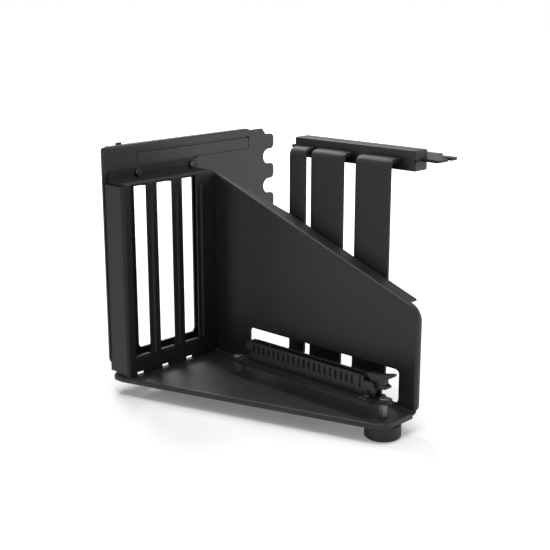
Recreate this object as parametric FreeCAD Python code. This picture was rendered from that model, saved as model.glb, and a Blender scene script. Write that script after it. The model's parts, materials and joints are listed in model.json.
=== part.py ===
import FreeCAD, Part
import math
import os

V = FreeCAD.Vector

# Bracket for mounting an expansion card upright in a computer case.
# Lengths are millimetres. While drawing, X runs from the rear slot plate to
# the foot, Y runs from the card side to the cable side, Z is up from the base.

# Case and card standards
slot_pitch = 20.32
slot_w = 12.2
slot_count = 3
tongue_count = 6
finger_pitch = 1.0
finger_count = 82
fingers_before_key = 11
key_room = 2.0
key_w = 1.7
card_gap = 1.6

# Sheet thickness and bends
plate_t = 1.2
frame_t = 1.0
panel_t = 1.2
bend_r = 1.0
edge_r = 0.4

# Clearances
screw_gap = 0.05
pivot_gap = 0.05
latch_gap = 0.3
relief = 0.4
foot_gap = 0.4

# Rear slot plate
plate_left = -75.6
plate_bottom = 4.6
plate_top = 140.0
plate_corner_r = 5.0
comb_root = 62.1
tongue_tip = 72.4
tongue_h = 10.2
tongue_r = 3.2
notch_r = 5.0
top_tongue_z = 129.9
shoulder_y = 61.1
shoulder_z = 139.2
shoulder_run = 3.5
fold_right = 48.6
fold_depth = 3.5
fold_start = 134.0
fold_inset = 6.0
fold_drop = 2.2
fold_corner = 2.0
stop_left = -61.6
stop_w = 3.8
stop_h = 1.3
window_left = -52.3
window_right = -3.9
window_bottom = 10.4
window_top = 116.5
window_r = 3.0
strip_left = -49.8
strip_right = 48.0
strip_bottom = 126.0
strip_top = 135.6
strip_groove = 1.3
strip_line = 0.4
strip_depth = 1.0
strip_break = 0.5

# Slot frame
frame_front = 18.1
frame_left = -75.0
first_slot = -68.7
sill_z = 12.0
ledge_top = 119.7
flange_top = 125.7
flange_left = -72.7
flange_r = 4.0
wall_bottom = 1.6
bar_to_bead = 4.06
bead_w = 2.6
bead_h = 1.0
bead_top = 112.0
collar_x = 10.2
collar_r = 2.5
collar_h = 2.4
card_thread_r = 1.42
tongue_gap_out = 5.5
tongue_gap_w = 5.4
tongue_gap_h = 2.2
sill_drop = 4.0
sill_fold = 1.8

# Screws that hold the frame to the plate
frame_screw_ys = (-49.7, -5.1)
frame_screw_z = 122.6
small_head_r = 2.3
small_head_h = 1.5
small_shank_r = 1.2

# Rivets that hold the frame to the base
rivet_offset = -2.2
rivet_z = 1.9
rivet_head_r = 1.15
rivet_head_h = 0.5
rivet_shank_r = 0.7
tab_w = 5.8
tab_h = 6.0
side_tab_h = 7.0

# Support panel and base, one folded sheet
panel_top = 119.2
slope_start = 16.3
slope_tan = 0.369
panel_room = 9.6
panel_corner_r = 10.0
flange_depth = 10.0
flange_full_x = 75.0
lip_depth = 3.5
lip_bottom = 1.2
flange_room = 8.5
cable_room_left = 18.5
cable_room_right = 10.0
cable_bottom = 2.1
cable_top = 22.3
cable_r = 2.8
base_left = -76.9
base_rear = 0.2
base_rear_r = 9.0
base_turn_x = 13.0
base_right_y = -27.4
base_corner_r = 10.0
base_drop = 3.0
base_edge_r = 1.8
base_slot_back = 9.6
base_slot_w = 10.4

# Riser board and its supports
board_under = 8.5
board_t = 1.6
board_room_left = 4.2
board_room_right = 8.8
board_front = -26.5
board_rear = -10.0
ear_r = 5.0
left_ear_out = 9.5
left_ear_y = -20.5
right_ear_out = 12.4
right_ear_y = -17.0
film_t = 0.5
film_inset = 1.2
hex_flats = 5.0
hex_sides = 6
thread_r = 1.5
hole_gap = 0.15
ring_r = 3.6
ring_t = 0.06
head_r = 2.75
head_h = 1.2
cross_w = 0.7
cross_depth = 0.7
head_bevel = 0.5
shank_reach = 4.0
base_screw_reach = 5.0

# Card slot on the riser board
housing_left = 67.2
housing_w = 8.0
housing_h = 11.25
housing_front = -19.8
housing_chamfer = 0.4
mouth_w = 3.0
mouth_depth = 8.6
mouth_inset = 2.0
mouth_spare = 1.0
groove_pitch = 4.05
groove_w = 1.5
groove_h = 5.0
groove_depth = 0.9
groove_from_top = 0.9
lug_l = 2.8
lug_h = 4.4
slit_in = 2.8
slit_w = 1.0
slit_h = 7.0
leaf_w = 0.6
leaf_rise = 0.72
leaf_h = 6.2
leaf_nose = 4.0

# Retention latch of the card slot
cheek_l = 7.4
cheek_h = 8.9
cheek_t = 1.9
pivot_out = 4.1
pivot_z = 13.2
pivot_r = 1.0
pivot_reach = 1.4

# Outline of the latch lever, measured from its pivot: X, Z, corner radius
latch_shape = (
    (-1.7, -1.6, 0.8),
    (2.1, -1.6, 0.8),
    (2.9, 2.3, 0.6),
    (9.4, 2.9, 0.3),
    (11.4, 4.0, 0.3),
    (11.4, 5.0, 0.3),
    (9.2, 5.9, 0.6),
    (9.2, 8.6, 0.6),
    (14.0, 11.0, 0.3),
    (14.9, 12.2, 0.3),
    (14.1, 12.8, 0.3),
    (4.2, 10.4, 1.0),
    (-2.3, 10.2, 0.6),
    (-3.5, 8.8, 0.3),
    (-1.3, 7.4, 0.4),
)

# Chip parts past the right end of the card slot: X from it, front Y, length, width, height
right_chips = (
    (1.2, -25.2, 2.0, 1.2, 0.9),
    (4.0, -25.2, 2.0, 1.2, 0.9),
    (2.4, -22.6, 3.2, 1.6, 1.4),
)

# Chip parts before its left end, listed in the same way
left_chips = (
    (-3.2, -24.6, 1.2, 2.0, 0.9),
    (-3.3, -15.2, 1.4, 1.4, 2.6),
)

# Flat cables between the riser board and the plug: X from the slot's left end, width.
# They run straight down to the board in the photograph, so their lower fold is tight.
ribbon_rooms = {
    "ribbon_left": (4.3, 12.6),
    "ribbon_middle": (21.5, 24.7),
    "ribbon_right": (55.3, 25.0),
}
ribbon_t = 2.2
ribbon_y = 12.3
ribbon_fold_r = 3.0
turn_share = 0.45

# Plug at the end of the flat cables
plug_inset = 0.3
plug_end = 4.1
plug_front = 21.0
plug_depth = 11.6
plug_mid = 137.5
plug_h = 11.8
plug_wall = 1.0
plug_edge_r = 0.7
tip_t = 1.6
tip_nub_out = 3.7
tip_hook_out = 10.6
tip_far = 54.0
tip_step = 27.6
tip_nub = 6.0
hook_far = 47.4
notch_near = 37.6
notch_far = 41.0
notch_out = 5.3
blade_margin = 1.0
tip_chamfer = 1.2
pad_w = 0.7
pad_l = 4.6
pad_t = 0.06
pad_back = 0.5

# Foot under the free corner of the base
foot_r = 10.4
foot_neck_r = 7.0
foot_bottom = -11.4
foot_bevel = 0.9
foot_seat = -6.0
foot_well_r = 3.4

# Values that follow from the ones above
front_back = frame_front - frame_t
ledge_under = ledge_top - frame_t
board_top = board_under + board_t
board_mid = board_under + board_t / 2
mouth_start = housing_left + mouth_inset
mouth_end = mouth_start + finger_count * finger_pitch + key_room + mouth_spare
housing_right = mouth_end + mouth_inset
housing_top = board_top + housing_h
housing_rear = housing_front + housing_w
housing_mid = housing_front + housing_w / 2
pivot_x = housing_right + pivot_out
board_left = housing_left - board_room_left
board_right = housing_right + board_room_right
left_ear = (housing_left - left_ear_out, left_ear_y)
right_ear = (housing_right + right_ear_out, right_ear_y)
panel_right = right_ear[0] + panel_room
cable_left = housing_left - cable_room_left
cable_right = housing_right + cable_room_right
chips = [(housing_right + chip[0], *chip[1:]) for chip in right_chips]
chips += [(housing_left + chip[0], *chip[1:]) for chip in left_chips]
ribbons = {node: (housing_left + x, width) for node, (x, width) in ribbon_rooms.items()}
plug_left = housing_left + plug_inset
blade_start = plug_left + blade_margin
blade_right = blade_start + finger_count * finger_pitch + key_room + blade_margin
plug_right = blade_right + plug_end
tip_left = plug_left - tip_nub_out
tip_right = plug_right + tip_hook_out
notch_in = plug_right + notch_out
plug_back = plug_front + plug_depth
ribbon_end = plug_front + plug_wall
seat_height = plate_bottom + (plate_top - plate_bottom) / 2
slot_lefts = [first_slot + n * slot_pitch for n in range(slot_count)]
bead_ys = [y + slot_w + bar_to_bead for y in slot_lefts]
front_slope = (base_right_y - base_left) / (panel_right - base_turn_x)

NORMALS = {"yz": V(1, 0, 0), "xz": V(0, 1, 0), "xy": V(0, 0, 1)}


def lift(plane, level, u, v):
    """Gives the point (u, v) of a drawing plane that lies at a level."""
    if plane == "yz":
        return V(level, u, v)
    if plane == "xz":
        return V(u, level, v)
    return V(u, v, level)


def outline(plane, level, corners):
    """Draws a closed face; a corner (u, v, r) is rounded to the radius r."""
    arcs = []
    count = len(corners)
    for i, corner in enumerate(corners):
        here = lift(plane, level, corner[0], corner[1])
        radius = corner[2] if len(corner) > 2 else 0
        if not radius:
            arcs.append((here, None, here))
            continue
        before = corners[i - 1]
        after = corners[(i + 1) % count]
        back = (lift(plane, level, before[0], before[1]) - here).normalize()
        ahead = (lift(plane, level, after[0], after[1]) - here).normalize()
        half = back.getAngle(ahead) / 2
        middle = (back + ahead).normalize()
        reach = radius / math.tan(half)
        bulge = radius / math.sin(half) - radius
        arcs.append((here + back * reach, here + middle * bulge, here + ahead * reach))
    edges = []
    for i, (start, bulge, end) in enumerate(arcs):
        if bulge is not None:
            edges.append(Part.Arc(start, bulge, end).toShape())
        following = arcs[(i + 1) % count][0]
        if (following - end).Length > 1e-6:
            edges.append(Part.LineSegment(end, following).toShape())
    return Part.Face(Part.Wire(edges))


def slab(plane, level, depth, corners):
    """Extrudes a drawn outline along its normal."""
    return outline(plane, level, corners).extrude(NORMALS[plane] * depth)


def block(x0, x1, y0, y1, z0, z1):
    """Makes a box between two corners."""
    return Part.makeBox(x1 - x0, y1 - y0, z1 - z0, V(x0, y0, z0))


def rod(radius, start, length, axis):
    """Makes a cylinder from a point along an axis."""
    return Part.makeCylinder(radius, length, V(*start), NORMALS[axis])


def window(u0, u1, v0, v1, radius):
    """Lists the corners of a rounded rectangle."""
    return [(u0, v0, radius), (u1, v0, radius), (u1, v1, radius), (u0, v1, radius)]


def joined(first, others):
    """Fuses shapes to one solid and drops the seams between flush faces."""
    return first.fuse(others).removeSplitter()


def group(solids):
    """Keeps identical pieces of one sub-part together."""
    return Part.makeCompound(solids)


def edges_where(shape, test):
    """Picks the edges whose two ends pass a test."""
    return [e for e in shape.Edges if all(test(v.Point) for v in e.Vertexes)]


def cross_recess(centre, axis):
    """Makes the cross that a screwdriver fits, sunk into a screw head."""
    arm = small_head_r * 2 - 2 * cross_w
    x, y, z = centre
    a, b, c = arm / 2, cross_w / 2, cross_depth
    if axis == "yz":
        bars = [block(x - c, x, y - a, y + a, z - b, z + b)]
        bars.append(block(x - c, x, y - b, y + b, z - a, z + a))
    else:
        bars = [block(x - a, x + a, y - b, y + b, z - c, z)]
        bars.append(block(x - b, x + b, y - a, y + a, z - c, z))
    return bars[0].fuse(bars[1])


def finger_x(start, n):
    """Place of a finger along its row, which skips the room of the key."""
    return start + (n + 0.5) * finger_pitch + (key_room if n >= fingers_before_key else 0)


def key_x(start):
    """Gives the two sides of the key of a finger row."""
    middle = start + fingers_before_key * finger_pitch + key_room / 2
    return middle - key_w / 2, middle + key_w / 2


def turned_head(radius, height):
    """Turns a screw head with a bevelled rim, standing up from the origin."""
    step = radius - head_bevel
    corners = [(0, 0), (radius, 0), (radius, height - head_bevel), (step, height), (0, height)]
    return outline("xz", 0, corners).revolve(V(0, 0, 0), NORMALS["xy"], 360)


def strip_grooves():
    """Makes the grooves pressed round the long strip at the top of the plate."""
    wide_floor = plate_t - strip_depth
    thin_floor = plate_t - strip_line
    low_top = strip_bottom + strip_groove
    return [
        block(wide_floor, plate_t, strip_left, strip_right, strip_top - strip_groove, strip_top),
        block(wide_floor, plate_t, strip_left, strip_break, strip_bottom, low_top),
        block(thin_floor, plate_t, strip_break, strip_right, low_top - strip_line, low_top),
        block(thin_floor, plate_t, strip_left, strip_left + strip_line, strip_bottom, strip_top),
        block(thin_floor, plate_t, strip_right - strip_line, strip_right, low_top - strip_line, strip_top),
    ]


def slot_plate():
    """Rear plate that replaces the slot covers, with its comb of tongues."""
    corners = [(plate_left, plate_bottom, plate_corner_r), (comb_root, plate_bottom, tongue_r)]
    for n in reversed(range(tongue_count)):
        middle = top_tongue_z - n * slot_pitch
        low, high = middle - tongue_h / 2, middle + tongue_h / 2
        corners += [(comb_root, low, notch_r), (tongue_tip, low, tongue_r), (tongue_tip, high, tongue_r)]
        if n:
            corners.append((comb_root, high, notch_r))
    corners += [(shoulder_y + shoulder_run, corners[-1][1], edge_r), (shoulder_y, shoulder_z, edge_r)]
    fold_left = plate_left + fold_inset
    corners += [(fold_right, shoulder_z), (fold_right, plate_top - fold_drop)]
    corners += [(fold_left, plate_top - fold_drop), (fold_left, plate_top)]
    corners.append((plate_left, plate_top, fold_corner))
    plate = slab("yz", 0, plate_t, corners)
    fold = [(-fold_depth, plate_top - plate_t), (-fold_depth, plate_top)]
    fold += [(plate_t, plate_top, bend_r + edge_r), (plate_t, fold_start), (0, fold_start)]
    fold.append((0, plate_top - plate_t, edge_r))
    folded = slab("xz", fold_left, fold_right - fold_left, fold)
    stop_top = plate_top + stop_h
    stop = block(-fold_depth, plate_t - fold_depth, stop_left, stop_left + stop_w, plate_top, stop_top)
    plate = joined(plate, [folded, stop])
    cuts = [slab("yz", 0, plate_t, window(window_left, window_right, window_bottom, window_top, window_r))]
    cuts += strip_grooves()
    for y in frame_screw_ys:
        cuts.append(rod(small_shank_r + screw_gap, (0, y, frame_screw_z), plate_t, "yz"))
    return plate.cut(cuts)


def bead(face, width, height):
    """Makes the round-topped ridges pressed along the bars, off one face of the sheet."""
    ridges = []
    for y in bead_ys:
        left, right = V(face, y - width / 2, sill_z), V(face, y + width / 2, sill_z)
        top = Part.Arc(left, V(face + height, y, sill_z), right).toShape()
        foot = Part.LineSegment(right, left).toShape()
        section = Part.Face(Part.Wire([top, foot]))
        ridges.append(section.extrude(V(0, 0, bead_top - sill_z)))
    return ridges


def slot_frame():
    """Folded frame with the three card slots, beads, sills and screw collars."""
    outer_r = bend_r + frame_t
    inner_r = bend_r
    ledge = [(plate_t, ledge_under, outer_r), (front_back, ledge_under, inner_r)]
    ledge += [(front_back, bead_top), (frame_front, bead_top), (frame_front, ledge_top, outer_r)]
    ledge += [(plate_t + frame_t, ledge_top, edge_r), (plate_t + frame_t, flange_top), (plate_t, flange_top)]
    top = slab("xz", flange_left, -flange_left, ledge)
    trim = block(plate_t, plate_t + frame_t, flange_left - edge_r, 0, ledge_top + bend_r, flange_top)
    shape = window(flange_left, -edge_r, ledge_top - flange_r, flange_top, flange_r)
    top = top.cut(trim.cut(slab("yz", plate_t, frame_t, shape)))
    wall = [(plate_t, frame_left), (frame_front, frame_left, outer_r), (frame_front, 0)]
    wall += [(front_back, 0), (front_back, frame_left + frame_t, inner_r), (plate_t, frame_left + frame_t)]
    body = slab("xy", 0, ledge_under - relief, wall)
    lift_wall = block(plate_t, front_back - bend_r, frame_left, frame_left + frame_t, 0, wall_bottom)
    frame = joined(top, [body.cut(lift_wall)] + bead(frame_front, bead_w, bead_h))
    cuts = bead(front_back, bead_w - 2 * relief, bead_h - relief / 2)
    cuts.append(block(front_back, frame_front, -bend_r - relief, 0, 0, bend_r + relief))
    for left in slot_lefts:
        cuts.append(block(front_back, frame_front, left, left + slot_w, sill_z - sill_drop / 2, ledge_under))
        near = left + slot_w / 2 - tongue_gap_out
        cuts.append(block(front_back, frame_front, near, near + tongue_gap_w, 0, tongue_gap_h))
    frame = frame.cut(cuts)
    parts = []
    for left in slot_lefts:
        tab = [(front_back - sill_fold, sill_z - frame_t), (front_back, sill_z - frame_t, edge_r)]
        tab += [(front_back, sill_z - sill_drop), (frame_front, sill_z - sill_drop)]
        tab += [(frame_front, sill_z, edge_r + frame_t), (front_back - sill_fold, sill_z)]
        parts.append(slab("xz", left, slot_w, tab))
    for y in bead_ys:
        parts.append(rod(collar_r, (collar_x, y, ledge_under - collar_h), collar_h, "xy"))
    frame = joined(frame, parts)
    holes = []
    for y in bead_ys:
        bottom = ledge_under - collar_h
        holes.append(rod(card_thread_r, (collar_x, y, bottom), ledge_top - bottom, "xy"))
        holes.append(rod(rivet_shank_r + screw_gap, (front_back, y + rivet_offset, rivet_z), frame_t, "yz"))
    for y in frame_screw_ys:
        holes.append(rod(small_shank_r + screw_gap, (plate_t, y, frame_screw_z), frame_t, "yz"))
    return frame.cut(holes)


def frame_screws():
    """Two cross-head screws through the frame's flange into the plate."""
    solids = []
    face = plate_t + frame_t
    for y in frame_screw_ys:
        head = turned_head(small_head_r, small_head_h)
        head.rotate(V(0, 0, 0), NORMALS["xz"], 90)
        head.translate(V(face, y, frame_screw_z))
        shank = rod(small_shank_r, (0, y, frame_screw_z), face, "yz")
        recess = cross_recess((face + small_head_h, y, frame_screw_z), "yz")
        solids.append(joined(head, [shank]).cut(recess))
    return group(solids)


def frame_rivets():
    """Three rivets that pin the frame's foot strip to the tabs of the base."""
    solids = []
    back = front_back - panel_t
    for y in bead_ys:
        spot = (frame_front, y + rivet_offset, rivet_z)
        head = rod(rivet_head_r, spot, rivet_head_h, "yz")
        shank = rod(rivet_shank_r, (back, spot[1], rivet_z), frame_front - back, "yz")
        solids.append(joined(head, [shank]))
    return group(solids)


def base_corners(inset):
    """Lists the corners of the base, drawn in by an inset from its front edges."""
    lean = math.atan(front_slope)
    left = base_left + inset
    right = panel_right - inset
    drop = inset / math.cos(lean)
    turn = base_turn_x + (inset - drop) / front_slope
    corners = [(base_rear + inset, left, base_rear_r - inset), (turn, left, base_corner_r)]
    corners.append((right, left + (right - turn) * front_slope, base_corner_r))
    return corners


def slope_z(x):
    """Height of the panel's sloping top edge at a place along X."""
    return panel_top - slope_tan * (x - slope_start)


def panel_corners(inset, foot):
    """Lists the corners of the panel, drawn in from its sloping and right edges."""
    drop = inset * math.hypot(1, slope_tan)
    right = panel_right - inset
    corners = [(plate_t, foot), (right, foot), (right, slope_z(right) - drop, panel_corner_r - inset)]
    return corners + [(slope_start, panel_top - drop), (plate_t, panel_top - drop)]


def support_panel():
    """Support panel and base folded from one sheet, with lips, window and tabs."""
    fold_y = -panel_t - bend_r
    tray_rear = [(panel_right, fold_y), (plate_t, fold_y)]
    tray = slab("xy", -base_drop, base_drop, base_corners(0) + tray_rear)
    rim = edges_where(tray, lambda p: p.z > -edge_r)
    rim = [e for e in rim if e.CenterOfMass.y < fold_y - edge_r]
    tray = tray.makeFillet(base_edge_r, rim)
    hollow_rear = [(panel_right - panel_t, 0), (plate_t + panel_t, 0)]
    tray = tray.cut(slab("xy", -base_drop, base_drop - panel_t, base_corners(panel_t) + hollow_rear))
    fold = [(fold_y, -panel_t), (panel_t, -panel_t, bend_r + panel_t), (panel_t, lip_bottom)]
    fold += [(0, lip_bottom), (0, 0, bend_r), (fold_y, 0)]
    bend = slab("yz", plate_t, panel_right - plate_t, fold)
    deep = slab("xz", 0, flange_depth, panel_corners(0, lip_bottom))
    front = edges_where(deep, lambda p: p.y < edge_r and p.z > lip_bottom + edge_r)
    front = [e for e in front if e.CenterOfMass.x > slope_start]
    flat = [e for e in deep.Edges if e.CenterOfMass.y < edge_r]
    front += [e for e in flat if abs(e.CenterOfMass.x - panel_right) < edge_r]
    deep = deep.makeFillet(base_edge_r, front)
    hollow = panel_corners(panel_t, lip_bottom)
    deep = deep.cut(slab("xz", panel_t, flange_depth, hollow))
    flange_end = panel_right - flange_room
    end_z = slope_z(flange_end)
    side_cut = slab("xz", lip_depth, flange_depth - lip_depth, [
        (flange_end - slope_tan * end_z, 0),
        (panel_right, 0),
        (panel_right, panel_top),
        (flange_end + slope_tan * (panel_top - end_z), panel_top),
    ])
    low_cut = slab("yz", panel_right - 2 * panel_t, 2 * panel_t, [
        (panel_t, 0),
        (flange_depth, 0),
        (flange_depth, lip_bottom + panel_t),
        (lip_depth, lip_bottom + panel_t),
        (2 * panel_t, lip_bottom),
        (panel_t, lip_bottom),
    ])
    taper_cut = slab("xy", 0, 2 * panel_top, [
        (0, panel_t),
        (slope_start + panel_t, panel_t),
        (flange_full_x, flange_depth),
        (0, flange_depth),
    ])
    deep = deep.cut([side_cut, low_cut, taper_cut])
    tabs = []
    tab_back = front_back - panel_t
    for y in bead_ys:
        middle = y + rivet_offset + bend_r
        near, far = middle - tab_w / 2, middle + tab_w / 2
        tabs.append(block(tab_back, front_back, near, far, -panel_t, tab_h))
    side = frame_left + frame_t
    rear = base_rear + base_rear_r / 2
    tabs.append(block(rear, tab_back - bend_r, side, side + panel_t, -panel_t, side_tab_h))
    sheet = joined(tray, [bend, deep] + tabs)
    cuts = [slab("xz", 0, panel_t, window(cable_left, cable_right, cable_bottom, cable_top, cable_r))]
    for left, y in zip(slot_lefts, bead_ys):
        centre = left + slot_w / 2
        half = base_slot_w / 2
        cuts.append(block(base_slot_back, tab_back, centre - half, centre + half, -panel_t, 0))
        middle = y + rivet_offset + bend_r
        near, far = middle - tab_w / 2, middle + tab_w / 2
        cuts.append(block(base_slot_back, tab_back, near, far, -panel_t, 0))
        rivet = (tab_back, y + rivet_offset, rivet_z)
        cuts.append(rod(rivet_shank_r + screw_gap, rivet, panel_t, "yz"))
    for x, y in (left_ear, right_ear):
        cuts.append(rod(thread_r + hole_gap, (x, y, -panel_t), panel_t, "xy"))
    return sheet.cut(cuts)


def riser_board():
    """Riser board with a round ear at each end."""
    board = block(board_left, board_right, board_front, board_rear, board_under, board_top)
    ears = []
    for (x, y), side in ((left_ear, board_left), (right_ear, board_right)):
        ears.append(rod(ear_r, (x, y, board_under), board_t, "xy"))
        low, high = sorted((x, side))
        ears.append(block(low, high, y - ear_r, y + ear_r, board_under, board_top))
    board = joined(board, ears)
    holes = [rod(thread_r + hole_gap, (x, y, board_under), board_t, "xy") for x, y in (left_ear, right_ear)]
    return board.cut(holes)


def board_film():
    """Insulating film stuck under the riser board."""
    left, right = board_left + film_inset, board_right - film_inset
    corners = window(left, right, board_front, board_rear - film_inset, edge_r)
    return slab("xy", board_under - film_t, film_t, corners)


def board_rings():
    """Plated rings round the two screw holes of the riser board."""
    solids = []
    for x, y in (left_ear, right_ear):
        ring = rod(ring_r, (x, y, board_top), ring_t, "xy")
        solids.append(ring.cut(rod(head_r + hole_gap, (x, y, board_top), ring_t, "xy")))
    return group(solids)


def standoffs():
    """Two six-sided spacers between the base and the riser board."""
    solids = []
    corner = hex_flats / 2 / math.cos(math.pi / hex_sides)
    for x, y in (left_ear, right_ear):
        turns = [2 * math.pi * n / hex_sides for n in range(hex_sides)]
        points = [(x + corner * math.cos(a), y + corner * math.sin(a)) for a in turns]
        post = slab("xy", 0, board_under, points)
        solids.append(post.cut(rod(thread_r, (x, y, 0), board_under, "xy")))
    return group(solids)


def pan_screw(x, y, seat, way, reach):
    """One cross-head screw whose head sits on a seat and points up or down."""
    head = turned_head(head_r, head_h)
    if way < 0:
        head.rotate(V(0, 0, 0), NORMALS["yz"], 180)
    head.translate(V(x, y, seat))
    foot = seat - reach if way > 0 else seat
    shank = rod(thread_r - screw_gap, (x, y, foot), reach, "xy")
    top = seat + way * head_h + (0 if way > 0 else cross_depth)
    return joined(head, [shank]).cut(cross_recess((x, y, top), "xy"))


def board_screws():
    """Two screws that hold the riser board on its spacers."""
    return group([pan_screw(x, y, board_top, 1, shank_reach) for x, y in (left_ear, right_ear)])


def base_screw():
    """Screw from under the base into the left spacer."""
    return pan_screw(*left_ear, -panel_t, -1, base_screw_reach + panel_t)


def foot_screw():
    """Screw through the foot and the base into the right spacer."""
    return pan_screw(*right_ear, foot_seat, -1, base_screw_reach - foot_seat)


def foot():
    """Rubber foot, turned, with a neck inside the base's lip and a well for its screw."""
    x, y = right_ear
    top = -panel_t
    step = -base_drop - foot_gap
    hole = thread_r + hole_gap
    profile = [(hole, foot_seat), (foot_well_r, foot_seat), (foot_well_r, foot_bottom)]
    profile += [(foot_r - foot_bevel, foot_bottom), (foot_r, foot_bottom + foot_bevel)]
    profile += [(foot_r, step), (foot_neck_r, step), (foot_neck_r, top), (hole, top)]
    turned = outline("xz", 0, profile).revolve(V(0, 0, 0), NORMALS["xy"], 360)
    turned.translate(V(x, y, 0))
    return turned


def slot_housing():
    """Card slot body with its key, side grooves and the cheeks of the latch."""
    body = block(housing_left, housing_right, housing_front, housing_rear, board_top, housing_top)
    top = edges_where(body, lambda p: p.z > housing_top - edge_r)
    body = body.makeChamfer(housing_chamfer, top)
    cuts = []
    near, far = housing_mid - mouth_w / 2, housing_mid + mouth_w / 2
    floor = housing_top - mouth_depth
    key_left, key_right = key_x(mouth_start)
    cuts.append(block(mouth_start, key_left, near, far, floor, housing_top))
    cuts.append(block(key_right, mouth_end, near, far, floor, housing_top))
    count = int((housing_right - housing_left) / groove_pitch) - 1
    high = housing_top - groove_from_top
    for n in range(count):
        x = housing_left + (n + 1) * groove_pitch
        sides = ((housing_front, housing_front + groove_depth), (housing_rear - groove_depth, housing_rear))
        for y0, y1 in sides:
            cuts.append(block(x - groove_w / 2, x + groove_w / 2, y0, y1, high - groove_h, high))
    slit = housing_right - slit_in
    slit_far = housing_front + groove_depth
    cuts.append(block(slit, slit + slit_w, housing_front, slit_far, housing_top - slit_h, housing_top))
    body = body.cut(cuts)
    lug_top = housing_top - housing_chamfer
    lug_right = housing_left + edge_r
    lug = block(housing_left - lug_l, lug_right, housing_front, housing_rear, lug_top - lug_h, lug_top)
    ends = [lug]
    for y in (housing_front, housing_rear - cheek_t):
        shape = window(housing_right - edge_r, housing_right + cheek_l, board_top, board_top + cheek_h, 0)
        shape[2] = (*shape[2][:2], cheek_t)
        cheek = slab("xz", y, cheek_t, shape)
        ends.append(cheek)
    body = joined(body, ends)
    reach = housing_w
    return body.cut(rod(pivot_r + pivot_gap, (pivot_x, housing_front, pivot_z), reach, "xz"))


def slot_contacts():
    """Two rows of bent spring leaves inside the card slot."""
    solids = []
    floor = housing_top - mouth_depth
    for side in (-1, 1):
        wall = housing_mid + side * mouth_w / 2
        nose = wall - side * leaf_rise
        section = [(wall, floor), (nose, floor + leaf_nose), (wall, floor + leaf_h)]
        for n in range(finger_count):
            solids.append(slab("yz", finger_x(mouth_start, n) - leaf_w / 2, leaf_w, section))
    return group(solids)


def slot_latch():
    """Lever that hooks the card's end, with its finger tab and two trunnions."""
    near = housing_front + cheek_t + latch_gap
    depth = housing_w - 2 * cheek_t - 2 * latch_gap
    x, z = pivot_x, pivot_z
    shape = [(x + along, z + up, radius) for along, up, radius in latch_shape]
    lever = slab("xz", near, depth, shape)
    pin = rod(pivot_r, (x, near - pivot_reach, z), depth + 2 * pivot_reach, "xz")
    return joined(lever, [pin])


def board_chips():
    """Small chip parts on the free ends of the riser board."""
    solids = []
    for x, y, length, width, height in chips:
        solids.append(block(x, x + length, y, y + width, board_top, board_top + height))
    return group(solids)


def ribbon(left, width):
    """Flat cable: out through the window, up behind the panel and over to the plug."""
    half = ribbon_t / 2
    low_r = ribbon_fold_r
    high_r = turn_share * (ribbon_end - ribbon_y)
    near, far = ribbon_y - half, ribbon_y + half
    strip = [(board_rear, board_mid - half), (far, board_mid - half, low_r + half)]
    strip += [(far, plug_mid - half, high_r - half), (ribbon_end, plug_mid - half)]
    strip += [(ribbon_end, plug_mid + half), (near, plug_mid + half, high_r + half)]
    strip += [(near, board_mid + half, low_r - half), (board_rear, board_mid + half)]
    print("flat cable bends:", low_r, round(high_r, 2), "width", width)
    return slab("yz", left, width, strip)


def plug_shell(side):
    """Half of the plug's housing, above (1) or below (-1) its board."""
    face = plug_mid + side * tip_t / 2
    outer = plug_mid + side * plug_h / 2
    low, high = sorted((face, outer))
    shell = block(plug_left, plug_right, plug_front, plug_back, low, high)
    edge = edges_where(shell, lambda p: abs(p.z - outer) < edge_r)
    corners = [e for e in shell.Edges if abs(e.Vertexes[0].Z - e.Vertexes[1].Z) > edge_r]
    shell = shell.makeFillet(plug_edge_r, edge + corners)
    low, high = sorted((face, plug_mid))
    wall = block(plug_left + plug_edge_r, plug_right - plug_edge_r, plug_front, ribbon_end, low, high)
    shell = joined(shell, [wall])
    half = ribbon_t / 2
    cuts = []
    for left, width in ribbons.values():
        cuts.append(block(left, left + width, plug_front, ribbon_end, plug_mid - half, plug_mid + half))
    return shell.cut(cuts)


def tip_corners():
    """Lists the corners of the plug's board, with its blade, hook and nub."""
    blade_left = plug_left - card_gap / 2
    corners = [(tip_left, ribbon_end, edge_r), (plug_right, ribbon_end), (plug_right, tip_step)]
    corners += [(tip_right, tip_step, edge_r), (tip_right, notch_near, edge_r)]
    corners += [(notch_in, notch_near, card_gap), (notch_in, notch_far, card_gap)]
    corners += [(tip_right, notch_far, edge_r), (tip_right, hook_far, card_gap)]
    corners += [(blade_right + card_gap, hook_far, card_gap), (blade_right, tip_far, tip_chamfer)]
    corners += [(blade_left, tip_far, tip_chamfer), (blade_left, ribbon_end + tip_nub, edge_r)]
    return corners + [(tip_left, ribbon_end + tip_nub, edge_r)]


def plug_board():
    """Board of the plug, whose blade goes into the motherboard's slot."""
    board = slab("xy", plug_mid - tip_t / 2, tip_t, tip_corners())
    key_left, key_right = key_x(blade_start)
    gap = block(key_left, key_right, tip_far - pad_l - card_gap, tip_far, plug_mid - tip_t, plug_mid + tip_t)
    return board.cut(gap)


def plug_contacts():
    """Two rows of gold pads on the faces of the plug's blade."""
    solids = []
    far = tip_far - pad_back
    for n in range(finger_count):
        x = finger_x(blade_start, n)
        for low in (plug_mid + tip_t / 2, plug_mid - tip_t / 2 - pad_t):
            solids.append(block(x - pad_w / 2, x + pad_w / 2, far - pad_l, far, low, low + pad_t))
    return group(solids)


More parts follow.
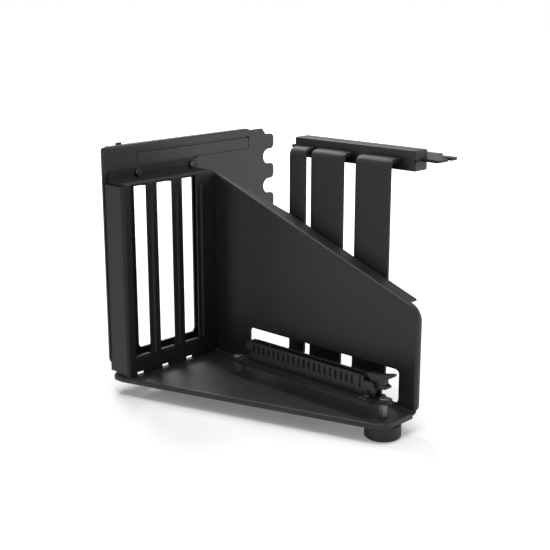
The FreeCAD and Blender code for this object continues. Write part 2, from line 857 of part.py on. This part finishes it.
def sub_parts():
    """Gives every sub-part under the name of its node."""
    parts = {
        "slot_plate": slot_plate(),
        "slot_frame": slot_frame(),
        "frame_screws": frame_screws(),
        "frame_rivets": frame_rivets(),
        "support_panel": support_panel(),
        "standoffs": standoffs(),
        "base_screw": base_screw(),
        "riser_board": riser_board(),
        "board_film": board_film(),
        "board_rings": board_rings(),
        "board_screws": board_screws(),
        "board_chips": board_chips(),
        "slot_housing": slot_housing(),
        "slot_contacts": slot_contacts(),
        "slot_latch": slot_latch(),
        "plug_upper_shell": plug_shell(1),
        "plug_lower_shell": plug_shell(-1),
        "plug_board": plug_board(),
        "plug_contacts": plug_contacts(),
        "foot": foot(),
        "foot_screw": foot_screw(),
    }
    for name, (left, width) in ribbons.items():
        parts[name] = ribbon(left, width)
    return parts


os.makedirs("parts", exist_ok=True)
for node, shape in sub_parts().items():
    shape.translate(V(0, 0, -seat_height))
    shape.exportStep("parts/" + node + ".step")
    print(node, shape.isValid(), len(shape.Solids), round(shape.Volume, 1))
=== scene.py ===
"""Visual model of an upright card bracket: finishes, flat cables, studio and camera."""

from __future__ import annotations

import json
import logging
import math
from dataclasses import dataclass
from enum import Enum
from typing import Any

import bmesh
import bpy
from mathutils import Matrix, Vector

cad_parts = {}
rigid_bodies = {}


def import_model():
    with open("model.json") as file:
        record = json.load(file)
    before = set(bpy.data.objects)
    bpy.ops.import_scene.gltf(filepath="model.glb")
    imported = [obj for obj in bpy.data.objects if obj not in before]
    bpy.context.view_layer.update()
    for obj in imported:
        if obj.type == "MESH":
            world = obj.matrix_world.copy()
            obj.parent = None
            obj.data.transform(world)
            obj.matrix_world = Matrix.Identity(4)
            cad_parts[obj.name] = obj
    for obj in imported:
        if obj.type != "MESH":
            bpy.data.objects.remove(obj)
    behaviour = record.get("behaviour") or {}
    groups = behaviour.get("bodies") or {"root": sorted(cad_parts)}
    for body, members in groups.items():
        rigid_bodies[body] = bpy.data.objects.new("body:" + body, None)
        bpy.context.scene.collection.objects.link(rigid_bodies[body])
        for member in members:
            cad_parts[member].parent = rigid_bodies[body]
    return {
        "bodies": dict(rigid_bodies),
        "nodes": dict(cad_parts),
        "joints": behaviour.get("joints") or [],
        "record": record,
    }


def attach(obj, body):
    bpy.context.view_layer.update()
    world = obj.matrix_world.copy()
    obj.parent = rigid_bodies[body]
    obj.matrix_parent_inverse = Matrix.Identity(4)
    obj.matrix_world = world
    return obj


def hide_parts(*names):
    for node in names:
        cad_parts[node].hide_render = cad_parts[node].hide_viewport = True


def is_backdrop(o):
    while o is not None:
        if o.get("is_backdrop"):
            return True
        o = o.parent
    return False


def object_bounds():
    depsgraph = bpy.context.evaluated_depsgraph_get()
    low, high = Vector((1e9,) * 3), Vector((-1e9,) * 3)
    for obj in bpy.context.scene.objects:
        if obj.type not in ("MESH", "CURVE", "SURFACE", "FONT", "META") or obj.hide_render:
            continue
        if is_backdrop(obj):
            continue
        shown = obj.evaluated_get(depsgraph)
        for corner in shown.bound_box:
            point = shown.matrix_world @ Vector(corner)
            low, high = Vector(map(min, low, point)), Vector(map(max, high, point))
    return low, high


log = logging.getLogger("bracket")

MM = 0.001

# Settings that the patterns of all finishes share.
EDGE_SAMPLES = 4
CLOUD_DETAIL = 3.0
SOFT_DETAIL = 1.0
SHARP_DETAIL = 4.0
THREAD_WANDER = 0.4
TRACK_GAP = 0.12
BRUSH_STRETCH = (1.0, 1.0, 0.06)

# The wave texture runs through 20 radians in each unit of length.
WAVE_TURN = 2 * math.pi / 20


class Body(Enum):
    """Rigid bodies that new pieces ride on."""

    BRACKET = "bracket"


class Slot(Enum):
    """Material slots of the record."""

    RIBBON = "ribbon"


class Pattern(Enum):
    """Kinds of surface relief that a finish can have."""

    PEEL = "soft pebbles of baked powder"
    GRAIN = "fine even grain"
    WEAVE = "crossed threads"
    BRUSHED = "fine lines along Z"
    TRACES = "copper tracks under lacquer"


def linear(hex_colour: str) -> tuple[float, float, float, float]:
    """Turns an sRGB hex colour to linear light.

    Args:
        hex_colour: Six hex digits after a hash sign.

    Returns:
        Red, green, blue and an alpha of 1.
    """
    channels = [int(hex_colour[i : i + 2], 16) / 255 for i in (1, 3, 5)]
    light = [c / 12.92 if c <= 0.04045 else ((c + 0.055) / 1.055) ** 2.4 for c in channels]
    return (light[0], light[1], light[2], 1.0)


def add_node(
    tree: bpy.types.NodeTree,
    kind: str,
    settings: dict[Any, Any] | None = None,
    links: dict[Any, bpy.types.NodeSocket] | None = None,
) -> bpy.types.Node:
    """Adds a node with its settings and links.

    Args:
        tree: Node tree that takes the node.
        kind: Blender's type name of the node.
        settings: Values by socket name, socket number or property name.
        links: Output sockets by the input that they feed.

    Returns:
        The new node.
    """
    node = tree.nodes.new(kind)
    for key, value in (settings or {}).items():
        if isinstance(key, str) and key not in node.inputs:
            setattr(node, key, value)
        else:
            node.inputs[key].default_value = value
    for key, source in (links or {}).items():
        tree.links.new(source, node.inputs[key])
    return node


@dataclass(frozen=True)
class Finish:
    """Surface finish of one real material.

    Colours are sRGB hex values, lengths are millimetres.
    """

    name: str
    colour: str
    tint: str
    roughness: tuple[float, float]
    pattern: Pattern
    pitch_mm: float
    relief_mm: float
    metallic: float = 0.0
    ior: float = 1.5
    mottle_mm: float = 22.0
    edge_mm: float = 0.3

    def scale(self, size_mm: float) -> float:
        """Gives the texture scale at which one feature measures a size."""
        return 1.0 / (size_mm * MM)

    def relief(self, tree: bpy.types.NodeTree, place: bpy.types.NodeSocket) -> bpy.types.NodeSocket:
        """Draws the height pattern.

        Args:
            tree: Node tree of the material.
            place: Object coordinates in metres.

        Returns:
            Socket of the height, from 0 to 1.
        """
        scale = self.scale(self.pitch_mm)
        at = {"Vector": place}
        if self.pattern is Pattern.WEAVE:
            waves = {"Scale": scale * WAVE_TURN, "Distortion": THREAD_WANDER}
            bands = {}
            for n, way in enumerate(("X", "Z")):
                wave = add_node(tree, "ShaderNodeTexWave", {"bands_direction": way, **waves}, at)
                bands[n] = wave.outputs["Fac"]
            return add_node(tree, "ShaderNodeMath", {"operation": "MULTIPLY"}, bands).outputs[0]
        if self.pattern is Pattern.TRACES:
            settings = {"feature": "DISTANCE_TO_EDGE", "Scale": scale}
            cells = add_node(tree, "ShaderNodeTexVoronoi", settings, at)
            settings = {"operation": "GREATER_THAN", 1: TRACK_GAP}
            tracks = add_node(tree, "ShaderNodeMath", settings, {0: cells.outputs["Distance"]})
            return tracks.outputs[0]
        if self.pattern is Pattern.BRUSHED:
            stretch = add_node(tree, "ShaderNodeMapping", {"Scale": BRUSH_STRETCH}, at)
            at = {"Vector": stretch.outputs["Vector"]}
        detail = SOFT_DETAIL if self.pattern is Pattern.PEEL else SHARP_DETAIL
        noise = add_node(tree, "ShaderNodeTexNoise", {"Scale": scale, "Detail": detail}, at)
        return noise.outputs["Fac"]

    def build(self) -> bpy.types.Material:
        """Builds the node material.

        Returns:
            The material, named for the finish.
        """
        material = bpy.data.materials.new(self.name)
        material.use_nodes = True
        tree = material.node_tree
        tree.nodes.clear()
        place = add_node(tree, "ShaderNodeTexCoord").outputs["Object"]
        settings = {"Scale": self.scale(self.mottle_mm), "Detail": CLOUD_DETAIL}
        cloud = add_node(tree, "ShaderNodeTexNoise", settings, {"Vector": place})
        height = self.relief(tree, place)
        settings = {"data_type": "RGBA", 6: linear(self.colour), 7: linear(self.tint)}
        blend = add_node(tree, "ShaderNodeMix", settings, {0: cloud.outputs["Fac"]})
        low, high = self.roughness
        settings = {"To Min": low, "To Max": high}
        rough = add_node(tree, "ShaderNodeMapRange", settings, {"Value": height})
        settings = {"samples": EDGE_SAMPLES, "Radius": self.edge_mm * MM}
        edge = add_node(tree, "ShaderNodeBevel", settings)
        settings = {"Strength": 1.0, "Distance": self.relief_mm * MM}
        links = {"Height": height, "Normal": edge.outputs[0]}
        bump = add_node(tree, "ShaderNodeBump", settings, links)
        settings = {"Metallic": self.metallic, "IOR": self.ior}
        links = {
            "Base Color": blend.outputs[2],
            "Roughness": rough.outputs[0],
            "Normal": bump.outputs[0],
        }
        shader = add_node(tree, "ShaderNodeBsdfPrincipled", settings, links)
        add_node(tree, "ShaderNodeOutputMaterial", links={"Surface": shader.outputs[0]})
        return material


# Mould grain, plating grain and drawn lines are a tenth of a millimetre or finer on the real
# pieces. They are drawn at 0.4 to 0.8 mm, so that they show.

# Black polyester powder coat on the rear plate, sprayed and baked: deep black under a satin
# skin that mirrors the room softly. Its pebbles are half a millimetre wide, drawn coarser.
SATIN_COAT = Finish(
    "satin_black_powder_coat", "#161617", "#1a1a1b", (0.36, 0.44),
    Pattern.PEEL, 1.2, 0.006, edge_mm=0.4,
)

# The same coat on the slot frame, thinner and flatter where it is sprayed into folds.
MATT_COAT = Finish(
    "matt_black_powder_coat", "#1c1c1d", "#202021", (0.42, 0.5),
    Pattern.PEEL, 1.2, 0.006, ior=1.35, edge_mm=0.4,
)

# The same coat with fine texture on the panel and base: light from the slots spreads over
# it as a soft patch, with no sharp mirror image.
FINE_COAT = Finish(
    "fine_texture_black_powder_coat", "#181819", "#1c1c1d", (0.48, 0.56),
    Pattern.PEEL, 1.2, 0.004, edge_mm=0.4,
)

# Steel screws in black zinc: dark, with a dull metal glint on their rims.
BLACK_ZINC = Finish(
    "black_zinc_steel", "#48484b", "#58585c", (0.24, 0.36),
    Pattern.GRAIN, 0.5, 0.006, metallic=1.0, mottle_mm=3.0,
)

# Zinc on steel spacers and screws: grey metal with fine drawn lines.
DRAWN_ZINC = Finish(
    "zinc_plated_steel", "#7a7a7d", "#68686b", (0.34, 0.46),
    Pattern.BRUSHED, 0.5, 0.006, metallic=1.0, mottle_mm=4.0,
)

# Black solder mask over glass-epoxy board: matt lacquer with faint copper tracks.
SOLDER_MASK = Finish(
    "black_solder_mask", "#0c0d0e", "#101112", (0.48, 0.54),
    Pattern.TRACES, 1.8, 0.004, ior=1.4, mottle_mm=9.0,
)

# Grey insulating film: thin matt polyester with a fine grain.
FILM = Finish(
    "matt_polyester_film", "#3a3c3d", "#333536", (0.5, 0.6),
    Pattern.GRAIN, 0.6, 0.005,
)

# Hard gold plating over nickel: warm, smooth and slightly cloudy.
GOLD = Finish(
    "hard_gold_plating", "#a07f45", "#866738", (0.26, 0.36),
    Pattern.GRAIN, 0.5, 0.003, metallic=1.0, mottle_mm=2.0,
)

# Fired ceramic of chip parts: dark blue-grey, dull and even.
CERAMIC = Finish(
    "chip_ceramic", "#3e4043", "#34363a", (0.45, 0.6),
    Pattern.GRAIN, 0.4, 0.004, mottle_mm=1.5,
)

# Glass-filled nylon, moulded: black with a dry, fine spark-eroded grain.
NYLON = Finish(
    "moulded_black_nylon", "#131314", "#171718", (0.36, 0.48),
    Pattern.GRAIN, 0.7, 0.006, mottle_mm=7.0,
)

# Black ABS, moulded: the plug's shells, with a fine even grain and a soft gloss.
ABS = Finish(
    "moulded_black_abs", "#101012", "#141416", (0.4, 0.5),
    Pattern.GRAIN, 0.8, 0.006, mottle_mm=9.0,
)

# Polyester tape sleeve round the flat cables: matt blue-black with a fine close weave.
# Threads are about 0.25 mm apart, drawn 1 mm apart so they show.
TAPE = Finish(
    "blue_black_tape_sleeve", "#0b1015", "#0e1318", (0.56, 0.68),
    Pattern.WEAVE, 1.0, 0.006, mottle_mm=16.0,
)

# Moulded rubber foot: soft blue-black with a dusty, even surface.
RUBBER = Finish(
    "moulded_black_rubber", "#131517", "#17191b", (0.58, 0.7),
    Pattern.GRAIN, 0.6, 0.006, mottle_mm=6.0,
)


class Paint:
    """Builds each finish once and puts it on objects."""

    def __init__(self) -> None:
        """Starts with no material built."""
        self.made: dict[str, bpy.types.Material] = {}

    def of(self, finish: Finish) -> bpy.types.Material:
        """Gives the material of a finish, built at its first use.

        Args:
            finish: The finish.

        Returns:
            Its material.
        """
        if finish.name not in self.made:
            self.made[finish.name] = finish.build()
        return self.made[finish.name]

    def put(self, obj: bpy.types.Object, finish: Finish) -> None:
        """Gives an object one finish all over.

        Args:
            obj: The object.
            finish: Its finish.
        """
        obj.data.materials.clear()
        obj.data.materials.append(self.of(finish))
        log.info("%s: %s", obj.name, finish.name)

    def nodes(self, frame: dict[str, Any], names: tuple[str, ...], finish: Finish) -> None:
        """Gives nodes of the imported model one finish.

        Args:
            names: The nodes' names.
            finish: Their finish.
        """
        for name in names:
            self.put(frame["nodes"][name], finish)


@dataclass
class SheetMetal:
    """Rear plate, slot frame and support panel, with the screws and rivets that hold them."""

    rear_plate: tuple[str, ...] = ("slot_plate",)
    card_frame: tuple[str, ...] = ("slot_frame",)
    panel_and_base: tuple[str, ...] = ("support_panel",)
    fasteners: tuple[str, ...] = ("frame_screws", "frame_rivets", "base_screw")

    def dress(self, paint: Paint, frame: dict[str, Any]) -> None:
        """Coats the sheets and blackens their fasteners.

        Args:
            paint: Store of built finishes.
        """
        paint.nodes(frame, self.rear_plate, SATIN_COAT)
        paint.nodes(frame, self.card_frame, MATT_COAT)
        paint.nodes(frame, self.panel_and_base, FINE_COAT)
        paint.nodes(frame, self.fasteners, BLACK_ZINC)


@dataclass
class Riser:
    """Riser board on its spacers, with the card slot, its latch and small parts."""

    board: tuple[str, ...] = ("riser_board",)
    film: tuple[str, ...] = ("board_film",)
    plated: tuple[str, ...] = ("board_rings", "slot_contacts")
    chips: tuple[str, ...] = ("board_chips",)
    moulded: tuple[str, ...] = ("slot_housing", "slot_latch")
    metal: tuple[str, ...] = ("standoffs", "board_screws")

    def dress(self, paint: Paint, frame: dict[str, Any]) -> None:
        """Finishes the board and what holds them.

        Args:
            paint: Store of built finishes.
        """
        paint.nodes(frame, self.board, SOLDER_MASK)
        paint.nodes(frame, self.film, FILM)
        paint.nodes(frame, self.plated, GOLD)
        paint.nodes(frame, self.chips, CERAMIC)
        paint.nodes(frame, self.moulded, NYLON)
        paint.nodes(frame, self.metal, DRAWN_ZINC)


@dataclass
class Plug:
    """Plug at the cables' end: two shells round a board with a gold blade."""

    shells: tuple[str, ...] = ("plug_upper_shell", "plug_lower_shell")
    board: tuple[str, ...] = ("plug_board",)
    pads: tuple[str, ...] = ("plug_contacts",)

    def dress(self, paint: Paint, frame: dict[str, Any]) -> None:
        """Finishes the shells, the board and its pads.

        Args:
            paint: Store of built finishes.
        """
        paint.nodes(frame, self.shells, ABS)
        paint.nodes(frame, self.board, SOLDER_MASK)
        paint.nodes(frame, self.pads, GOLD)


@dataclass
class CornerFoot:
    """Rubber foot and its screw under the base's free corner."""

    rubber: tuple[str, ...] = ("foot",)
    screw: tuple[str, ...] = ("foot_screw",)

    def dress(self, paint: Paint, frame: dict[str, Any]) -> None:
        """Finishes the foot and its screw.

        Args:
            paint: Store of built finishes.
        """
        paint.nodes(frame, self.rubber, RUBBER)
        paint.nodes(frame, self.screw, BLACK_ZINC)


@dataclass
class FlatCable:
    """One sleeved flat cable from the riser board up to the plug.

    Lengths are metres in the part's own frame. The route is drawn at the cable's own X.
    """

    name: str
    left: float
    width: float
    carries: tuple[str, ...]
    thickness: float = 2.2 * MM
    edge: float = 0.5 * MM
    seam: float = 0.25 * MM
    crown: float = 0.12 * MM
    edge_turn: float = 0.3
    face_steps: int = 6
    bend_steps: int = 14
    crease_degrees: float = 40.0
    route: tuple[tuple[float, float], ...] = (
        (-0.0100, -0.0630),
        (0.0063, -0.0630),
        (0.0123, -0.0630),
        (0.0123, -0.0570),
        (0.0123, 0.0565),
        (0.0123, 0.0652),
        (0.0210, 0.0652),
        (0.0220, 0.0652),
    )

    def centreline(self) -> list[Vector]:
        """Reads the cable's line off a smooth spline through its route.

        Returns:
            Points along the spline, from the board to the plug.
        """
        middle = self.left + self.width / 2
        curve = bpy.data.curves.new(self.name + "_route", "CURVE")
        curve.dimensions = "3D"
        spline = curve.splines.new("NURBS")
        spline.points.add(len(self.route) - 1)
        for point, (y, z) in zip(spline.points, self.route):
            point.co = (middle, y, z, 1.0)
        spline.order_u = 3
        spline.use_endpoint_u = True
        spline.resolution_u = self.bend_steps
        holder = bpy.data.objects.new(self.name + "_route", curve)
        mesh = bpy.data.meshes.new_from_object(holder)
        line = [vertex.co.copy() for vertex in mesh.vertices]
        bpy.data.objects.remove(holder)
        bpy.data.curves.remove(curve)
        bpy.data.meshes.remove(mesh)
        return line

    def section(self) -> list[tuple[float, float]]:
        """Draws the cable's section: crowned faces, round edges and a seam in each edge.

        Returns:
            Points (across, out) in order round the section.
        """
        half, side = self.width / 2, self.thickness / 2
        shoulder = side - self.crown
        turn = self.edge * self.edge_turn
        face = []
        for i in range(self.face_steps + 1):
            across = -1 + 2 * i / self.face_steps
            face.append(((half - self.edge) * across, side - self.crown * across * across))
        upper = [(half - turn, shoulder - turn), (half, shoulder - self.edge), (half, self.seam)]
        lower = [(u, -v) for u, v in reversed(upper)]
        right = face + upper + [(half - self.seam, 0.0)] + lower
        return right + [(-u, -v) for u, v in right]

    def build(self) -> tuple[bpy.types.Object, list[Vector]]:
        """Sweeps the section along the line.

        Returns:
            The cable's object and the line that it follows.
        """
        line = self.centreline()
        section = self.section()
        mesh = bmesh.new()
        rings = []
        across = Vector((1, 0, 0))
        for i, point in enumerate(line):
            ahead = (line[min(i + 1, len(line) - 1)] - line[max(i - 1, 0)]).normalized()
            out = ahead.cross(across)
            rings.append([mesh.verts.new(point + across * u + out * v) for u, v in section])
        count = len(section)
        for first, second in zip(rings, rings[1:]):
            for k in range(count):
                j = (k + 1) % count
                mesh.faces.new((first[k], first[j], second[j], second[k]))
        mesh.faces.new(list(reversed(rings[0])))
        mesh.faces.new(rings[-1])
        bmesh.ops.recalc_face_normals(mesh, faces=mesh.faces)
        data = bpy.data.meshes.new(self.name + "_sleeve")
        mesh.to_mesh(data)
        mesh.free()
        for polygon in data.polygons:
            polygon.use_smooth = len(polygon.vertices) == 4
        data.set_sharp_from_angle(angle=math.radians(self.crease_degrees))
        cable = bpy.data.objects.new(self.name + "_sleeve", data)
        bpy.context.scene.collection.objects.link(cable)
        return cable, line

    def dress(self, paint: Paint, frame: dict[str, Any]) -> None:
        """Args:
            paint: Store of built finishes.
        """
        cable, line = self.build()
        paint.put(cable, TAPE)
        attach(cable, Body.BRACKET.value)
        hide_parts(self.name)


@dataclass(frozen=True)
class Softbox:
    """Square soft lamp that faces a point, in metres and watts."""

    name: str
    place: tuple[float, float, float]
    size: float
    watts: float

    def hang(self, aim: tuple[float, float, float]) -> None:
        """Hangs the lamp so that it faces a point.

        Args:
            aim: The point.
        """
        data = bpy.data.lights.new(self.name, "AREA")
        data.size = self.size
        data.energy = self.watts
        lamp = bpy.data.objects.new(self.name, data)
        lamp.location = self.place
        ahead = Vector(aim) - Vector(self.place)
        lamp.rotation_euler = ahead.to_track_quat("-Z", "Y").to_euler()
        bpy.context.scene.collection.objects.link(lamp)


@dataclass
class Studio:
    """Pale floor, soft light and the photograph's camera.

    Lengths are metres and angles are degrees. The floor's glow rises from near_fill to far_fill
    between the distances near and far from a point in front of the part, where its shadow falls;
    the low glow there is painted shade. The mirrored levels are what the part's surfaces see of
    the floor and the room.
    """

    floor_z: float
    floor_side: float = 12.0
    paper: str = "#f4f4f4"
    white: str = "#ffffff"
    # Middle of the painted shade on the floor, in front of the part where its shadow falls.
    painted_shade_pool: tuple[float, float] = (-0.1, -0.15)
    eye: tuple[float, float, float] = (0.5032, -0.4628, 0.1559)
    azimuth: float = 43.09
    elevation: float = 14.82
    focal_px: float = 1066.2
    frame_px: float = 550.0
    sensor_mm: float = 36.0
    clip: float = 0.01
    near: float = 0.25
    far: float = 1.0
    near_fill: float = 0.15
    far_fill: float = 0.8
    floor_mirrored: float = 0.7
    room_light: float = 0.3
    room_mirrored: float = 1.0
    zenith_mirrored: float = 0.3
    aim: tuple[float, float, float] = (0.08, 0.0, 0.0)
    lamps: tuple[Softbox, ...] = (
        Softbox("overhead_softbox", (0.08, -0.02, 1.2), 0.6, 8.0),
        Softbox("side_softbox", (1.0, 0.8, 0.4), 0.9, 3.5),
        Softbox("back_softbox", (-0.85, 0.4, 1.0), 0.6, 13.0),
    )

    def floor(self) -> None:
        """Lays a pale floor that keeps the shadow and reads as white in the open.

        The floor glows a little for the camera and in reflections, least round a point in front of
        the part where its shadow falls: painted shade that keeps the shadow dark.
        """
        half = self.floor_side / 2
        data = bpy.data.meshes.new("studio_floor")
        corners = [(-half, -half, 0), (half, -half, 0), (half, half, 0), (-half, half, 0)]
        data.from_pydata(corners, [], [(0, 1, 2, 3)])
        floor = bpy.data.objects.new("studio_floor", data)
        # The floor is centred on the painted shade, so that its object coordinates measure the
        # distance from it.
        floor.location = (*self.painted_shade_pool, self.floor_z)
        bpy.context.scene.collection.objects.link(floor)
        material = bpy.data.materials.new("pale_paper_floor")
        material.use_nodes = True
        tree = material.node_tree
        tree.nodes.clear()
        paper = add_node(tree, "ShaderNodeBsdfDiffuse", {"Color": linear(self.paper)})
        ray = add_node(tree, "ShaderNodeLightPath").outputs
        rays = {0: ray["Is Glossy Ray"], 1: ray["Is Transmission Ray"]}
        mirrored = add_node(tree, "ShaderNodeMath", {"operation": "MAXIMUM"}, rays)
        settings = {"operation": "MULTIPLY", 1: self.floor_mirrored}
        dimmed = add_node(tree, "ShaderNodeMath", settings, {0: mirrored.outputs[0]})
        rays = {0: ray["Is Camera Ray"], 1: dimmed.outputs[0]}
        seen = add_node(tree, "ShaderNodeMath", {"operation": "MAXIMUM"}, rays)
        place = add_node(tree, "ShaderNodeTexCoord").outputs["Object"]
        away = add_node(tree, "ShaderNodeVectorMath", {"operation": "LENGTH"}, {0: place})
        settings = {
            "From Min": self.near,
            "From Max": self.far,
            "To Min": self.near_fill,
            "To Max": self.far_fill,
        }
        # Painted shade: the glow sinks to near_fill round the middle of the shaded patch.
        painted_shade_glow = add_node(tree, "ShaderNodeMapRange", settings, {"Value": away.outputs["Value"]})
        glows = {0: seen.outputs[0], 1: painted_shade_glow.outputs[0]}
        fill = add_node(tree, "ShaderNodeMath", {"operation": "MULTIPLY"}, glows)
        glow = add_node(tree, "ShaderNodeEmission", links={"Strength": fill.outputs[0]})
        shaders = {0: paper.outputs[0], 1: glow.outputs[0]}
        both = add_node(tree, "ShaderNodeAddShader", links=shaders)
        add_node(tree, "ShaderNodeOutputMaterial", links={"Surface": both.outputs[0]})
        data.materials.append(material)
        floor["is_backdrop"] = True

    def world(self) -> None:
        """Surrounds the part with white light, dimmer overhead in reflections."""
        world = bpy.data.worlds.new("soft_white_room")
        bpy.context.scene.world = world
        world.use_nodes = True
        tree = world.node_tree
        tree.nodes.clear()
        ray = add_node(tree, "ShaderNodeLightPath").outputs
        rays = {0: ray["Is Glossy Ray"], 1: ray["Is Transmission Ray"]}
        mirrored = add_node(tree, "ShaderNodeMath", {"operation": "MAXIMUM"}, rays)
        way = add_node(tree, "ShaderNodeTexCoord").outputs["Generated"]
        height = add_node(tree, "ShaderNodeSeparateXYZ", links={0: way}).outputs["Z"]
        levels = {"To Min": self.room_mirrored, "To Max": self.zenith_mirrored}
        sky = add_node(tree, "ShaderNodeMapRange", levels, {"Value": height}).outputs[0]
        levels = {"Value": mirrored.outputs[0], "To Max": sky}
        unseen = add_node(tree, "ShaderNodeMapRange", {"To Min": self.room_light}, levels)
        rays = {0: unseen.outputs[0], 1: ray["Is Camera Ray"]}
        strength = add_node(tree, "ShaderNodeMath", {"operation": "MAXIMUM"}, rays)
        settings = {"Color": linear(self.white)}
        links = {"Strength": strength.outputs[0]}
        room = add_node(tree, "ShaderNodeBackground", settings, links)
        add_node(tree, "ShaderNodeOutputWorld", links={"Surface": room.outputs[0]})

    def camera(self) -> None:
        """Sets the camera where the photograph was taken from."""
        data = bpy.data.cameras.new("photo_camera")
        data.sensor_width = self.sensor_mm
        data.lens = self.sensor_mm * self.focal_px / self.frame_px
        data.clip_start = self.clip
        a, e = math.radians(self.azimuth), math.radians(self.elevation)
        back = Vector((math.sin(a) * math.cos(e), -math.cos(a) * math.cos(e), math.sin(e)))
        right = Vector((math.cos(a), math.sin(a), 0.0))
        up = back.cross(right)
        camera = bpy.data.objects.new("photo_camera", data)
        turn = Matrix((right, up, back)).transposed()
        camera.matrix_world = Matrix.Translation(self.eye) @ turn.to_4x4()
        bpy.context.scene.collection.objects.link(camera)
        bpy.context.scene.camera = camera

    def build(self) -> None:
        """Builds the floor, the light and the camera."""
        self.floor()
        self.world()
        for lamp in self.lamps:
            lamp.hang(self.aim)
        self.camera()


CABLES = (
    FlatCable("ribbon_left", 0.0715, 0.0126, ("plug_lower_shell",)),
    FlatCable("ribbon_middle", 0.0887, 0.0247, ("plug_upper_shell",)),
    FlatCable("ribbon_right", 0.1225, 0.0250, ("plug_board", "plug_contacts")),
)


def main() -> None:
    """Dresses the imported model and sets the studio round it."""
    logging.basicConfig(level=logging.INFO, format="%(name)s: %(message)s")
    bpy.context.scene.view_settings.view_transform = "Standard"
    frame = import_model()
    cad_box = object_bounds()
    paint = Paint()
    for part in (SheetMetal(), Riser(), Plug(), CornerFoot(), *CABLES):
        part.dress(paint, frame)
    Studio(floor_z=cad_box[0][2]).build()


if __name__ == "__main__":
    main()
